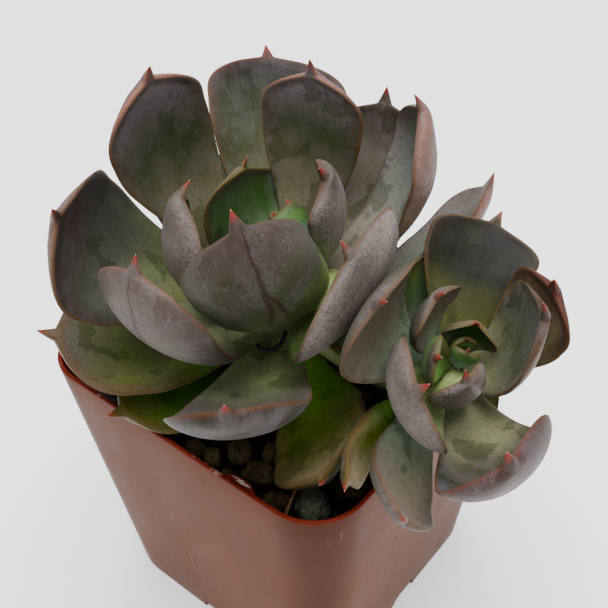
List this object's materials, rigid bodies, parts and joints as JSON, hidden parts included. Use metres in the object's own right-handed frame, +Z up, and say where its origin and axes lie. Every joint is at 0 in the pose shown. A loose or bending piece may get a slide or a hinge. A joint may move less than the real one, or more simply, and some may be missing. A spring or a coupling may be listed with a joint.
{
  "type": "potted succulent",
  "caption": "Rosette succulent with a smaller side rosette, dusky purple-brown spoon leaves with salmon margins, in a square nursery pot of thin terracotta-coloured plastic.",
  "frame": {"origin": "middle of the pot's flat underside", "axes": "+Z up; the pot's sides face X and Y; -Y is the front wall, with the small thumb tab inside its rim; the side rosette leans over the +X wall"},
  "size_m": [0.0841, 0.0756, 0.1063],
  "materials": {
    "dusky_leaf": "satin",
    "green_leaf": "satin",
    "stem_flesh": "satin",
    "terracotta_plastic": "satin",
    "potting_soil": "matte",
    "pumice": "matte",
    "dry_matter": "matte"
  },
  "bodies": {
    "root": {"main_leaf_01": "green_leaf", "main_leaf_02": "green_leaf", "main_leaf_03": "green_leaf", "main_leaf_04": "green_leaf", "main_leaf_05": "dusky_leaf", "main_leaf_06": "dusky_leaf", "main_leaf_07": "dusky_leaf", "main_leaf_08": "dusky_leaf", "main_leaf_09": "dusky_leaf", "main_leaf_10": "dusky_leaf", "main_leaf_11": "dusky_leaf", "main_leaf_12": "dusky_leaf", "main_leaf_13": "dusky_leaf", "main_leaf_14": "dusky_leaf", "main_leaf_15": "dusky_leaf", "main_leaf_16": "dusky_leaf", "main_leaf_17": "dusky_leaf", "main_leaf_18": "dusky_leaf", "main_leaf_19": "dusky_leaf", "main_leaf_20": "dusky_leaf", "main_leaf_21": "dusky_leaf", "main_leaf_22": "dusky_leaf", "main_leaf_23": "dusky_leaf", "main_leaf_24": "dusky_leaf", "main_leaf_25": "dusky_leaf", "offset_leaf_01": "green_leaf", "offset_leaf_02": "green_leaf", "offset_leaf_03": "green_leaf", "offset_leaf_04": "green_leaf", "offset_leaf_05": "green_leaf", "offset_leaf_06": "green_leaf", "offset_leaf_07": "dusky_leaf", "offset_leaf_08": "dusky_leaf", "offset_leaf_09": "dusky_leaf", "offset_leaf_10": "dusky_leaf", "offset_leaf_11": "dusky_leaf", "offset_leaf_12": "dusky_leaf", "offset_leaf_13": "dusky_leaf", "offset_leaf_14": "green_leaf", "offset_leaf_15": "dusky_leaf", "offset_leaf_16": "dusky_leaf", "main_stem": "stem_flesh", "offset_stem": "stem_flesh", "pot": "terracotta_plastic", "soil": "potting_soil", "pumice_01": "pumice", "pumice_02": "pumice", "pumice_03": "pumice", "pumice_04": "pumice", "pumice_05": "pumice", "pumice_06": "pumice", "pumice_07": "pumice", "pumice_08": "pumice", "pumice_09": "pumice", "pumice_10": "pumice", "pumice_11": "pumice", "pumice_12": "pumice", "pumice_13": "pumice", "dried_thread": "dry_matter", "dry_straw": "dry_matter"}
  },
  "joints": []
}
